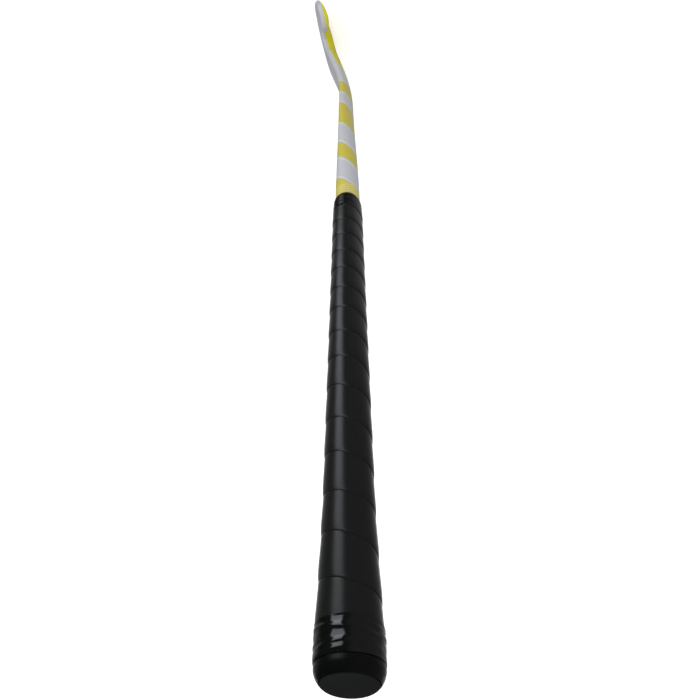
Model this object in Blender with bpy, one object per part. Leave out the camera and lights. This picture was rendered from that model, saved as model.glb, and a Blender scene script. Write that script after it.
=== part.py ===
"""Indoor hockey stick, built piece by piece, in metres.

The frame: the origin is the centre of the butt's end, +Z points out of the butt, so the stick hangs
below it. The toe of the hook points to -Y and the flat playing face looks to +X.
A station is the distance from the butt's end, measured down the shaft.
The width of the stick lies along Y, its thickness along X, behind the playing face.
"""

import math

import bmesh
import bpy
from mathutils import Vector

# The whole stick
STICK_LENGTH = 0.9525
PART_GAP = 0.0003
WALL = 0.0024

# The laminated body: an oval handle that runs into a flat-faced shaft
HANDLE_THICKNESS = 0.0240
HANDLE_WIDTH = 0.0300
HANDLE_SWELL = 0.0012
HANDLE_SWELL_START = 0.060
HANDLE_SWELL_LENGTH = 0.300
SHAFT_THICKNESS = 0.0145
SHAFT_WIDTH = 0.0440
TAPER_START = 0.430
TAPER_LENGTH = 0.270
FACE_CORNER = 0.0055
HANDLE_FLAT = 0.0020
LEAST_CORNER = 0.0004
STRAIGHT_STEP = 0.050

# The bow: a bend towards the playing face, low down on the stick
BOW_ANGLE = math.radians(8.9)
BOW_LENGTH = 0.150
BOW_END_ABOVE_BASE = 0.1300

# The hooked head
HEAD_THICKNESS = 0.0178
HEAD_SWELL_ABOVE_BASE = 0.2000
HEAD_SWELL_LENGTH = 0.150
HOOK_RADIUS = 0.0338
HOOK_SWEEP = math.radians(176.0)
BAND_WIDTH = 0.0430
TOE_LENGTH = 0.0450
TOE_WIDTH = 0.0385
TOE_THICKNESS = 0.0120
TOE_THIN_START = 0.0400
TOE_THIN_RUN = 0.0600
TIP_ROUNDING = 0.0180
TIP_EDGE = 0.0030
TIP_EDGE_CURVE = 1.5
TIP_BLUNTNESS = 0.6

# The inside
CORE_HEIGHT = 0.330
PLUG_LENGTH = 0.042
PLUG_FLANGE = 0.0015
PLUG_LEAD_IN = 0.0020
PLUG_TAIL_SHRINK = 0.0010
PLUG_BORE_SHRINK = 0.0080
PLUG_BORE_TOP = 0.0105

# The butt end: one blunt dome that the disc and the shoulder of the cap share
DOME_DEPTH = 0.0077
DOME_SQUARENESS = 5.3
DOME_ROUNDNESS = 1.5
BUTT_GROWTH = 0.0039
DISC_EDGE_GROWTH = 0.0010
DISC_FLAT_SHRINK = 0.0076
DISC_SEAT = 0.0052
CAP_FLOOR = 0.0018
CAP_SHOULDER_END = 0.0095
CAP_SLEEVE_END = 0.0200
CAP_SLEEVE_GROWTH = 0.0008

# The flared collar under the grip
FLARE_RISE = 0.0024
FLARE_LENGTH = 0.090
FLARE_CURVE = 1.5
SHOULDER_DROP = 0.0010
SHOULDER_LENGTH = 0.0200
COLLAR_LENGTH = 0.036

# The wound grip tape and the two bands that hold its ends
GRIP_END = 0.424
TAPE_PITCH = 0.0254
TAPE_GROOVE = 0.0007
TAPE_THIN_EDGE = 0.00125
TAPE_THICK_EDGE = 0.00175
TAPE_EDGE_ROUND = 0.0006
TAPE_EDGE_HEIGHT = 0.6
TAPE_STEPS_PER_TURN = 24
TAPE_START_WIDTH = 0.0022
TAPE_START_TURN = math.radians(90.0)
BAND_LENGTH = 0.0215
BAND_THICKNESS = 0.0016
BAND_END_ROUNDING = 0.0050
BAND_LIP = 0.0003
ANCHOR_LENGTH = 0.0160
ANCHOR_THICKNESS = 0.0003
LEAST_WINDING_GAP = 0.0004

# How finely round shapes are cut
CORNER_STEPS = 5
BACK_STEPS = 12
OVAL_STEPS = 28
TIP_STEPS = 7
COLLAR_STEPS = 9
ANCHOR_STEPS = 4
DISC_STEPS = 6
SHOULDER_STEPS = 8
BAND_END_STEPS = 6
SHAFT_STEP = 0.0150
HOOK_STEP = math.radians(6.3)
INSIDE_STEP_SCALE = 2.0
SHARP_ANGLE = math.radians(40.0)


def smooth_step(value, start, length):
    """Rises from 0 to 1 over the given stretch, level at both ends."""
    share = min(max((value - start) / length, 0.0), 1.0)
    return share * share * (3.0 - 2.0 * share)


def blend(first, second, share):
    return first + (second - first) * share


# The body's own dimensions at a station

CAP_INNER_FLOOR = DISC_SEAT + PART_GAP + CAP_FLOOR
FLANGE_TOP = CAP_INNER_FLOOR + PART_GAP
BODY_TOP = FLANGE_TOP + PLUG_FLANGE + PART_GAP
HOOK_CENTRE = STICK_LENGTH - BAND_WIDTH / 2 - HOOK_RADIUS
HOOK_RUN = HOOK_RADIUS * HOOK_SWEEP
PATH_END = HOOK_CENTRE + HOOK_RUN + TOE_LENGTH
BOW_START = STICK_LENGTH - BOW_END_ABOVE_BASE - BOW_LENGTH
HEAD_SWELL_START = STICK_LENGTH - HEAD_SWELL_ABOVE_BASE


def handle_swell(station):
    """How much thicker and wider the handle is than at its lower end: it swells towards the butt."""
    return HANDLE_SWELL * (1 - smooth_step(station, HANDLE_SWELL_START, HANDLE_SWELL_LENGTH))


def straight_thickness(station):
    """Thickness of the handle and shaft at a station, without the swell of the head."""
    handle = HANDLE_THICKNESS + handle_swell(station)
    return blend(handle, SHAFT_THICKNESS, smooth_step(station, TAPER_START, TAPER_LENGTH))


def body_thickness(path):
    """Thickness of the body at a distance along its centre line, hook included."""
    swollen = smooth_step(path, HEAD_SWELL_START, HEAD_SWELL_LENGTH)
    head = blend(straight_thickness(path), HEAD_THICKNESS, swollen)
    thinned = smooth_step(path, HOOK_CENTRE + TOE_THIN_START, TOE_THIN_RUN)
    return blend(head, TOE_THICKNESS, thinned)


def body_width(path):
    """Width of the body, which narrows at the base of the hook and again at the toe."""
    handle = HANDLE_WIDTH + handle_swell(path)
    wide = blend(handle, SHAFT_WIDTH, smooth_step(path, TAPER_START, TAPER_LENGTH))
    wide = blend(wide, BAND_WIDTH, smooth_step(path, HOOK_CENTRE - HOOK_RADIUS, HOOK_RADIUS))
    return blend(wide, TOE_WIDTH, smooth_step(path, HOOK_CENTRE + HOOK_RUN / 2, HOOK_RUN / 2))


def bow_offset(station):
    """How far the bow has carried the body towards the playing face at a station."""
    share = min(max((station - BOW_START) / BOW_LENGTH, 0.0), 1.0)
    bend = BOW_LENGTH * (share**3 - share**4 / 2)
    beyond = max(station - BOW_START - BOW_LENGTH, 0.0)
    return math.tan(BOW_ANGLE) * (bend + beyond)


def face_x(station):
    """X of the playing face. It depends on the station alone, so the face of the head is a plane."""
    return bow_offset(station) + straight_thickness(station) / 2


def section_point(path, turn, growth=0.0):
    """Across-width and behind-face distances of a point on the section's outline.

    turn is an angle round the section: 0 is the middle of the face, a quarter turn its toe side,
    half a turn the middle of the back. growth moves the whole outline outwards or inwards.
    """
    width = body_width(path) + 2 * growth
    thickness = body_thickness(path) + 2 * growth
    squareness = smooth_step(path, TAPER_START, TAPER_LENGTH)
    round_corner = body_width(path) / 2 - HANDLE_FLAT / 2
    corner_width = blend(round_corner, FACE_CORNER, squareness) + growth
    corner_depth = blend(body_thickness(path) / 2, FACE_CORNER, squareness) + growth
    corner_width = min(max(corner_width, LEAST_CORNER), width / 2)
    corner_depth = min(max(corner_depth, LEAST_CORNER), thickness / 2)
    flat = width / 2 - corner_width
    flat_turn = flat / width * math.pi
    turn = (turn + math.pi) % (2 * math.pi) - math.pi
    side = 1.0 if turn >= 0 else -1.0
    turn = abs(turn)
    if turn <= flat_turn and flat_turn > 0:
        across = flat * turn / flat_turn
        behind = 0.0
    elif turn <= math.pi / 2:
        arc = (turn - flat_turn) / (math.pi / 2 - flat_turn) * math.pi / 2
        across = flat + corner_width * math.sin(arc)
        behind = corner_depth * (1 - math.cos(arc))
    else:
        arc = turn - math.pi / 2
        across = width / 2 * math.cos(arc)
        behind = corner_depth + (thickness - corner_depth) * math.sin(arc)
    return side * across, behind - growth


def body_turns(path, growth=0.0):
    """The angles at which the body's outline has its points, the ends of the flat among them."""
    width = body_width(path) + 2 * growth
    squareness = smooth_step(path, TAPER_START, TAPER_LENGTH)
    round_corner = body_width(path) / 2 - HANDLE_FLAT / 2
    corner_width = blend(round_corner, FACE_CORNER, squareness) + growth
    corner_width = min(max(corner_width, LEAST_CORNER), width / 2)
    flat_turn = (width / 2 - corner_width) / width * math.pi
    corner_run = math.pi / 2 - flat_turn
    turns = [flat_turn + corner_run * step / CORNER_STEPS for step in range(CORNER_STEPS)]
    turns += [math.pi / 2 + math.pi * step / BACK_STEPS for step in range(BACK_STEPS)]
    turns += [-math.pi / 2 + corner_run * step / CORNER_STEPS for step in range(CORNER_STEPS + 1)]
    return turns


def centre_line(path):
    """Station, offset to the toe side and heading of the body's centre line."""
    if path <= HOOK_CENTRE:
        return path, 0.0, 0.0
    heading = min((path - HOOK_CENTRE) / HOOK_RADIUS, HOOK_SWEEP)
    station = HOOK_CENTRE + HOOK_RADIUS * math.sin(heading)
    toeward = HOOK_RADIUS * (1 - math.cos(heading))
    straight = max(path - HOOK_CENTRE - HOOK_RUN, 0.0)
    return station + straight * math.cos(heading), toeward + straight * math.sin(heading), heading


def in_space(path, across, behind):
    """The point of the part's frame that lies at a place in the section at path."""
    station, toeward, heading = centre_line(path)
    station -= across * math.sin(heading)
    toeward += across * math.cos(heading)
    return Vector((face_x(station) - behind, -toeward, -station))


# Blender helpers


def start_ring(mesh, places):
    """Makes a closed ring of vertices joined by edges."""
    ring = [mesh.verts.new(place) for place in places]
    for index, vertex in enumerate(ring):
        mesh.edges.new((vertex, ring[(index + 1) % len(ring)]))
    return ring


def extrude_ring(mesh, ring, places):
    """Extrudes a closed ring of edges and puts the new ring's vertices on their places."""
    edges = [mesh.edges.get((vertex, ring[(i + 1) % len(ring)])) for i, vertex in enumerate(ring)]
    made = bmesh.ops.extrude_edge_only(mesh, edges=edges)
    fresh = {item for item in made["geom"] if isinstance(item, bmesh.types.BMVert)}
    following = []
    for vertex, place in zip(ring, places):
        twin = next(e.other_vert(vertex) for e in vertex.link_edges if e.other_vert(vertex) in fresh)
        twin.co = place
        following.append(twin)
    return following


def loft(rings, closed=False):
    """A closed solid through a series of rings: ends capped, or the last ring joined to the first."""
    mesh = bmesh.new()
    first = start_ring(mesh, rings[0])
    current = first
    for places in rings[1:]:
        current = extrude_ring(mesh, current, places)
    if closed:
        current = extrude_ring(mesh, current, rings[0])
        bmesh.ops.weld_verts(mesh, targetmap=dict(zip(current, first)))
    else:
        mesh.faces.new(first)
        mesh.faces.new(current)
    bmesh.ops.recalc_face_normals(mesh, faces=mesh.faces)
    return mesh


def finish_piece(name, mesh, material):
    """Turns a bmesh into a named object that is shaded smooth between its sharp edges."""
    data = bpy.data.meshes.new(name)
    mesh.to_mesh(data)
    mesh.free()
    data.materials.append(material)
    data.shade_smooth()
    data.set_sharp_from_angle(angle=SHARP_ANGLE)
    piece = bpy.data.objects.new(name, data)
    bpy.context.scene.collection.objects.link(piece)
    piece.parent = stick_root
    return piece


def plain_material(name, color, roughness, metallic=0.0):
    """A Principled material of one colour."""
    material = bpy.data.materials.new(name)
    material.use_nodes = True
    shader = material.node_tree.nodes["Principled BSDF"]
    shader.inputs["Base Color"].default_value = (*color, 1.0)
    shader.inputs["Roughness"].default_value = roughness
    shader.inputs["Metallic"].default_value = metallic
    return material


def oval_ring(station, growth):
    """A ring of the handle's own oval at a station, grown by the given amount."""
    path = max(station, 0.0)
    turns = [2 * math.pi * step / OVAL_STEPS for step in range(OVAL_STEPS)]
    return [in_space(path, *section_point(path, turn, growth)) for turn in turns]


def oval_solid(profile, closed=False):
    """A loft through handle ovals, one for each (station, growth) pair of the profile."""
    return loft([oval_ring(station, growth) for station, growth in profile], closed)


def quarter_round(start, end, steps):
    """Points of a quarter ellipse that leaves the first (station, growth) point along the stick."""
    arcs = [math.pi / 2 * step / steps for step in range(steps + 1)]
    return [(blend(start[0], end[0], math.sin(arc)), blend(end[1], start[1], math.cos(arc))) for arc in arcs]


def dome_points(inner, outer, steps):
    """(station, growth) points on the dome of the butt, between two growths."""
    centre = straight_thickness(0.0) / 2
    reach = BUTT_GROWTH + centre
    arcs = [math.asin(((growth + centre) / reach) ** (DOME_SQUARENESS / 2)) for growth in (inner, outer)]
    points = []
    for step in range(steps + 1):
        arc = blend(arcs[0], arcs[1], step / steps)
        station = DOME_DEPTH * (1 - math.cos(arc) ** (2 / DOME_ROUNDNESS))
        points.append((station, reach * math.sin(arc) ** (2 / DOME_SQUARENESS) - centre))
    return points


# The laminated body with its hook


def body_ring(path, growth=0.0):
    return [in_space(path, *section_point(path, turn, growth)) for turn in body_turns(path, growth)]


def path_stops(start, end, step_scale=1.0):
    """Distances along the centre line at which the body gets a ring."""
    stops = [start]
    marks = [HANDLE_SWELL_START, HANDLE_SWELL_START + HANDLE_SWELL_LENGTH]
    marks += [TAPER_START, TAPER_START + TAPER_LENGTH, BOW_START, HOOK_CENTRE, HOOK_CENTRE + HOOK_RUN]
    marks = sorted({mark for mark in marks if start < mark < end} | {end})
    for mark in marks:
        low = stops[-1]
        if mark <= TAPER_START:
            count = max(1, round((mark - low) / STRAIGHT_STEP))
        elif low >= HOOK_CENTRE and mark <= HOOK_CENTRE + HOOK_RUN:
            count = max(1, round((mark - low) / (HOOK_RADIUS * HOOK_STEP * step_scale)))
        else:
            count = max(1, round((mark - low) / (SHAFT_STEP * step_scale)))
        stops += [low + (mark - low) * step / count for step in range(1, count + 1)]
    return stops


def tip_rings(growth):
    """Rings that round off the toe, in plan with an ellipse and on its edges with a smaller one."""
    rings = []
    begin = PATH_END - TIP_ROUNDING
    half_width = body_width(PATH_END) / 2
    for step in range(1, TIP_STEPS + 1):
        arc = math.pi / 2 * step / (TIP_STEPS + TIP_BLUNTNESS)
        path = begin + TIP_ROUNDING * math.sin(arc)
        narrowing = math.cos(arc)
        edge = TIP_EDGE * (1 - math.cos(arc)) ** TIP_EDGE_CURVE
        ring = []
        for turn in body_turns(path, growth - edge):
            across, behind = section_point(path, turn, growth - edge)
            reach = half_width + growth - edge
            across *= ((half_width + growth) * narrowing + TIP_EDGE / 2 * (1 - narrowing)) / reach
            ring.append(in_space(path + growth * math.sin(arc), across, behind))
        rings.append(ring)
    return rings


def stick_shape(start, growth, step_scale):
    """Rings of the stick's form from a station to the tip of the toe."""
    stops = path_stops(start, PATH_END - TIP_ROUNDING, step_scale)
    return [body_ring(path, growth) for path in stops] + tip_rings(growth)


def make_stick_body():
    """The laminate: one skin outside, one inside, open at the butt."""
    outside = stick_shape(BODY_TOP, 0.0, 1.0)
    inside = stick_shape(BODY_TOP, -WALL, INSIDE_STEP_SCALE)
    mesh = bmesh.new()
    rim = start_ring(mesh, outside[0])
    current = rim
    for places in outside[1:]:
        current = extrude_ring(mesh, current, places)
    mesh.faces.new(current)
    current = extrude_ring(mesh, rim, inside[0])
    for places in inside[1:]:
        current = extrude_ring(mesh, current, places)
    mesh.faces.new(current)
    bmesh.ops.recalc_face_normals(mesh, faces=mesh.faces)
    return finish_piece("stick_body", mesh, lacquer)


def make_foam_core():
    """The foam that fills the head and the lower shaft, a clearance inside the wall."""
    rings = stick_shape(STICK_LENGTH - CORE_HEIGHT, -WALL - PART_GAP, INSIDE_STEP_SCALE)
    return finish_piece("foam_core", loft(rings), foam)


# The butt end


def make_handle_plug():
    """The plug in the open end of the shaft: a flange, a tapered shank and a blind hole below."""
    shank = -WALL - PART_GAP
    tail = BODY_TOP + PLUG_LENGTH
    profile = [(FLANGE_TOP, 0.0), (FLANGE_TOP + PLUG_FLANGE, 0.0), (FLANGE_TOP + PLUG_FLANGE, shank)]
    profile += [(tail - PLUG_LEAD_IN, shank - PART_GAP), (tail, shank - PLUG_TAIL_SHRINK)]
    profile += [(tail, -PLUG_BORE_SHRINK), (BODY_TOP + PLUG_BORE_TOP, -PLUG_BORE_SHRINK)]
    return finish_piece("handle_plug", oval_solid(profile), hard_plastic)


def make_butt_cap():
    """The moulded cap: a recess for the disc, a rounded shoulder and a thin sleeve under the grip."""
    recess = DISC_EDGE_GROWTH + PART_GAP
    profile = [(DISC_SEAT + PART_GAP, recess)] + dome_points(recess, BUTT_GROWTH, SHOULDER_STEPS)
    profile += [(CAP_SHOULDER_END, BUTT_GROWTH), (CAP_SHOULDER_END, CAP_SLEEVE_GROWTH)]
    profile += [(CAP_SLEEVE_END, CAP_SLEEVE_GROWTH), (CAP_SLEEVE_END, PART_GAP)]
    profile.append((CAP_INNER_FLOOR, PART_GAP))
    return finish_piece("butt_cap", oval_solid(profile), rubber)


def make_end_disc():
    """The bare disc in the cap's recess, which carries the dome on to a flat in the middle."""
    crown = dome_points(-DISC_FLAT_SHRINK, DISC_EDGE_GROWTH, DISC_STEPS)
    profile = [(0.0, -DISC_FLAT_SHRINK)] + crown[1:] + [(DISC_SEAT, DISC_EDGE_GROWTH)]
    return finish_piece("end_disc", oval_solid(profile), disc_plastic)


# The grip


def flare(station):
    """Growth of the surface that the tape lies on: it swells towards the butt, then rounds in."""
    below_cap = max(station - CAP_SHOULDER_END, 0.0)
    swell = FLARE_RISE * (1 - min(below_cap / FLARE_LENGTH, 1.0)) ** FLARE_CURVE
    return swell - SHOULDER_DROP * (1 - min(below_cap / SHOULDER_LENGTH, 1.0)) ** 2


def make_flare_collar():
    """The tapered collar that gives the grip its flare at the butt."""
    top = CAP_SHOULDER_END + PART_GAP
    stops = [top + COLLAR_LENGTH * step / COLLAR_STEPS for step in range(COLLAR_STEPS + 1)]
    outside = [(station, flare(station)) for station in stops]
    sleeve = CAP_SLEEVE_GROWTH + PART_GAP
    past_sleeve = CAP_SLEEVE_END + PART_GAP
    inside = [(stops[-1], PART_GAP), (past_sleeve, PART_GAP), (past_sleeve, sleeve), (top, sleeve)]
    return finish_piece("flare_collar", oval_solid(outside + inside, closed=True), foam_black)


def make_anchor_band():
    """The thin glossy band over the first turns of the tape."""
    top = CAP_SHOULDER_END + PART_GAP
    stops = [top + ANCHOR_LENGTH * step / ANCHOR_STEPS for step in range(ANCHOR_STEPS + 1)]
    lift = PART_GAP + TAPE_THICK_EDGE + PART_GAP
    inside = [(station, flare(station) + lift) for station in stops]
    outside = [(station, growth + ANCHOR_THICKNESS) for station, growth in reversed(inside)]
    return finish_piece("anchor_band", oval_solid(inside + outside, closed=True), gloss_tape)


def tape_section(turn_count, top, bottom):
    """The tape's section where its middle has made turn_count turns, as points round its outline."""
    middle = top - TAPE_PITCH / 2 + TAPE_PITCH * turn_count
    half = (TAPE_PITCH - TAPE_GROOVE) / 2
    low = max(middle - half, top)
    high = min(middle + half, bottom)
    turn = TAPE_START_TURN - 2 * math.pi * turn_count
    places = []
    width = high - low
    stops = [(low, 0.0), (low + width / 4, 0.0), (low + width / 2, 0.0), (high, 0.0)]
    edge = min(TAPE_EDGE_ROUND, width / 4)
    for share_in in (0.0, edge, width / 2, width - edge, width):
        station = high - share_in
        share = (station - (middle - half)) / (2 * half)
        rise = blend(TAPE_THICK_EDGE, TAPE_THIN_EDGE, share)
        if share_in in (0.0, width):
            rise *= TAPE_EDGE_HEIGHT
        stops.append((station, rise))
    for station, rise in stops:
        growth = flare(station) + PART_GAP + rise
        places.append(in_space(station, *section_point(station, turn, growth)))
    return places


def winding_gap(sections):
    """The least distance between points of the winding that lie half a turn or more apart."""
    least = 1.0
    half_turn = TAPE_STEPS_PER_TURN // 2
    reach = TAPE_STEPS_PER_TURN + 2
    for index, section in enumerate(sections):
        for later in sections[index + half_turn : index + reach + 1]:
            for first in section:
                for second in later:
                    least = min(least, (first - second).length)
    return least


def make_grip_tape():
    """The grip: one unbroken tape, wound from the butt, each turn's thick edge by the next thin one."""
    top = CAP_SHOULDER_END + PART_GAP
    bottom = GRIP_END - BAND_LENGTH - PART_GAP
    first_turn = (TAPE_START_WIDTH + TAPE_GROOVE / 2) / TAPE_PITCH
    last_turn = (bottom - top - TAPE_START_WIDTH) / TAPE_PITCH + 1
    count = round((last_turn - first_turn) * TAPE_STEPS_PER_TURN)
    sections = []
    for step in range(count + 1):
        turn_count = blend(first_turn, last_turn, step / count)
        sections.append(tape_section(turn_count, top, bottom))
    gap = winding_gap(sections)
    print(f"grip tape: {last_turn - first_turn:.1f} turns, least gap to itself {gap * 1000:.2f} mm")
    if gap < LEAST_WINDING_GAP:
        print("the turns of the grip tape lie too close")
    return finish_piece("grip_tape", loft(sections), grip_rubber)


def make_finishing_band():
    """The band that closes the grip at its lower end, with a rounded lip on the shaft."""
    top = GRIP_END - BAND_LENGTH
    round_start = GRIP_END - BAND_END_ROUNDING
    outside = [(top, BAND_THICKNESS + PART_GAP)]
    end = (GRIP_END, PART_GAP + BAND_LIP)
    outside += quarter_round((round_start, BAND_THICKNESS + PART_GAP), end, BAND_END_STEPS)
    inside = [(GRIP_END, PART_GAP), (top, PART_GAP)]
    return finish_piece("finishing_band", oval_solid(outside + inside, closed=True), gloss_tape)


for leftover in list(bpy.data.objects):
    bpy.data.objects.remove(leftover)

stick_root = bpy.data.objects.new("stick_root", None)
bpy.context.scene.collection.objects.link(stick_root)

lacquer = plain_material("lacquer", (0.62, 0.58, 0.10), 0.3)
foam = plain_material("foam", (0.75, 0.70, 0.55), 0.9)
foam_black = plain_material("foam_black", (0.02, 0.02, 0.02), 0.9)
hard_plastic = plain_material("hard_plastic", (0.03, 0.03, 0.03), 0.5)
rubber = plain_material("rubber", (0.012, 0.012, 0.013), 0.5)
disc_plastic = plain_material("disc_plastic", (0.016, 0.017, 0.017), 0.45)
grip_rubber = plain_material("grip_rubber", (0.012, 0.012, 0.013), 0.45)
gloss_tape = plain_material("gloss_tape", (0.008, 0.008, 0.010), 0.15)

make_stick_body()
make_foam_core()
make_handle_plug()
make_butt_cap()
make_end_disc()
make_flare_collar()
make_grip_tape()
make_anchor_band()
make_finishing_band()
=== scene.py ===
# %% [markdown]
# # An indoor hockey stick
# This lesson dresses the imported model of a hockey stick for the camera. The stick stands upright in
# the frame, with the end of its butt at the origin and +Z pointing out of the butt. The flat playing
# face looks to +X and the toe of the hook points to -Y. A station is a distance from the butt's end,
# straight down the stick. A path is the same distance along the centre line, so it goes on round the
# hook.

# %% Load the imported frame
import math
import random

import bmesh
import bpy
from mathutils import Matrix, Vector


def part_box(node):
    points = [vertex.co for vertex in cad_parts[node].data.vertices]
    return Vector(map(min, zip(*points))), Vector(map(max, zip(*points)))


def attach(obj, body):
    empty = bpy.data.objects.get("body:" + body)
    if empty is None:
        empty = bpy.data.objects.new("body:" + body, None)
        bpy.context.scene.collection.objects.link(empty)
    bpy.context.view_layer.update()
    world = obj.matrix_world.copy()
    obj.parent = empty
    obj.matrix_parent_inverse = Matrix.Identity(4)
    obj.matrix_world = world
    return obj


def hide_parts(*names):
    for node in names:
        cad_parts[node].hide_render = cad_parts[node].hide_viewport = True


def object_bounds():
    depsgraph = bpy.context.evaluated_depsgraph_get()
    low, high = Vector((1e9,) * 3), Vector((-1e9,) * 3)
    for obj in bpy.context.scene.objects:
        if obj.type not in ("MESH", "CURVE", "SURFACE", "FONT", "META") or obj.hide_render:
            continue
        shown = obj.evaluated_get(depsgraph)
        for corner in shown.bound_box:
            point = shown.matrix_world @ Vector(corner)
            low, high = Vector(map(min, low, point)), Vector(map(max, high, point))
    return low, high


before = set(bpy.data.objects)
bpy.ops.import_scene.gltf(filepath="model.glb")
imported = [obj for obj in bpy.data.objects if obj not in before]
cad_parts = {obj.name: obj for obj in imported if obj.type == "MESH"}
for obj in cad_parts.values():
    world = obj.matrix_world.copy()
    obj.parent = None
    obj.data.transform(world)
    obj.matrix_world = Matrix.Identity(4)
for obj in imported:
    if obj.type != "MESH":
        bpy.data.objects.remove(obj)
cad_low, cad_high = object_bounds()
print("nodes:", ", ".join(sorted(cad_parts)))

# %% [markdown]
# ## The camera
# The photograph looks down the stick from close above the butt, so the near end is large and the
# hook is small. The camera is placed along the photograph's own directions: right, away along the
# stick, and up. The stick was rolled a little about its length, and that roll turns those directions
# into the frame's.

# %% Place the camera
SENSOR = 36.0
LENS = 28.8
LOOK_DOWN = math.radians(43.46)
LOOK_RIGHT = math.radians(0.308)
STICK_ROLL = math.radians(12.04)
CAMERA_RIGHT = -0.0005
CAMERA_BEFORE = 0.0755
CAMERA_ABOVE = 0.2780
NEAR_CLIP = 0.01

right_way = Vector((-math.cos(STICK_ROLL), math.sin(STICK_ROLL), 0.0))
away_way = Vector((0.0, 0.0, -1.0))
up_way = Vector((-math.sin(STICK_ROLL), -math.cos(STICK_ROLL), 0.0))
photo_axes = Matrix((right_way, away_way, up_way)).transposed()


def from_photo(right, away, up):
    """A point of the frame, from distances in the photograph's directions."""
    return photo_axes @ Vector((right, away, up))


camera_data = bpy.data.cameras.new("camera")
camera_data.sensor_width = SENSOR
camera_data.lens = LENS
camera_data.clip_start = NEAR_CLIP
camera = bpy.data.objects.new("camera", camera_data)
bpy.context.scene.collection.objects.link(camera)
turn_right = Matrix.Rotation(-LOOK_RIGHT, 3, "Z")
tilt_down = Matrix.Rotation(math.pi / 2 - LOOK_DOWN, 3, "X")
camera.matrix_world = (photo_axes @ turn_right @ tilt_down).to_4x4()
camera.location = from_photo(CAMERA_RIGHT, -CAMERA_BEFORE, CAMERA_ABOVE)
bpy.context.scene.camera = camera
print("camera at", [round(value, 3) for value in camera.location])

# %% [markdown]
# ## The form of the stick
# The laminate starts as an oval handle and runs into a shaft with one flat face and a rounded back.
# It bends slightly towards the face, then its centre line turns round in a J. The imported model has
# this form in flat facets. Here the same formulas are sampled finely, so that lacquer and light run
# over it smoothly. A loft through rings does this best, because each ring knows where it is.

# %% Dimensions of the stick
STICK_LENGTH = 0.9525
HANDLE_THICKNESS = 0.0240
HANDLE_WIDTH = 0.0300
HANDLE_SWELL = 0.0012
HANDLE_SWELL_START = 0.060
HANDLE_SWELL_LENGTH = 0.300
SHAFT_THICKNESS = 0.0145
SHAFT_WIDTH = 0.0440
TAPER_START = 0.430
TAPER_LENGTH = 0.270
FACE_CORNER = 0.0055
HANDLE_FLAT = 0.0020
BOW_SLOPE = math.tan(math.radians(8.9))
BOW_START = 0.6725
BOW_LENGTH = 0.150
HEAD_THICKNESS = 0.0178
HEAD_SWELL_START = 0.7525
HEAD_SWELL_LENGTH = 0.150
HOOK_RADIUS = 0.0338
HOOK_SWEEP = math.radians(176.0)
BAND_WIDTH = 0.0430
TOE_LENGTH = 0.0450
TOE_WIDTH = 0.0385
TOE_THICKNESS = 0.0120
TOE_THIN_START = 0.0400
TOE_THIN_RUN = 0.0600
TIP_ROUNDING = 0.0180
TIP_EDGE = 0.0030
HOOK_CENTRE = STICK_LENGTH - BAND_WIDTH / 2 - HOOK_RADIUS
HOOK_RUN = HOOK_RADIUS * HOOK_SWEEP
PATH_END = HOOK_CENTRE + HOOK_RUN + TOE_LENGTH
BODY_TOP = -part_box("stick_body")[1][2]


def smooth_step(value, start, length):
    """Rises from 0 to 1 over the given stretch, level at both ends."""
    share = min(max((value - start) / length, 0.0), 1.0)
    return share * share * (3.0 - 2.0 * share)


def blend(first, second, share):
    return first + (second - first) * share


print(f"the body starts {BODY_TOP * 1000:.1f} mm below the butt's end")

# %% The section of the body at a distance along its centre line
def handle_swell(station):
    return HANDLE_SWELL * (1 - smooth_step(station, HANDLE_SWELL_START, HANDLE_SWELL_LENGTH))


def straight_thickness(station):
    handle = HANDLE_THICKNESS + handle_swell(station)
    return blend(handle, SHAFT_THICKNESS, smooth_step(station, TAPER_START, TAPER_LENGTH))


def body_thickness(path):
    swollen = smooth_step(path, HEAD_SWELL_START, HEAD_SWELL_LENGTH)
    head = blend(straight_thickness(path), HEAD_THICKNESS, swollen)
    thinned = smooth_step(path, HOOK_CENTRE + TOE_THIN_START, TOE_THIN_RUN)
    return blend(head, TOE_THICKNESS, thinned)


def body_width(path):
    handle = HANDLE_WIDTH + handle_swell(path)
    wide = blend(handle, SHAFT_WIDTH, smooth_step(path, TAPER_START, TAPER_LENGTH))
    wide = blend(wide, BAND_WIDTH, smooth_step(path, HOOK_CENTRE - HOOK_RADIUS, HOOK_RADIUS))
    return blend(wide, TOE_WIDTH, smooth_step(path, HOOK_CENTRE + HOOK_RUN / 2, HOOK_RUN / 2))


def face_x(station):
    """X of the playing face, which the bow carries forward low down on the stick."""
    share = min(max((station - BOW_START) / BOW_LENGTH, 0.0), 1.0)
    bend = BOW_LENGTH * (share**3 - share**4 / 2) + max(station - BOW_START - BOW_LENGTH, 0.0)
    return BOW_SLOPE * bend + straight_thickness(station) / 2


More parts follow.
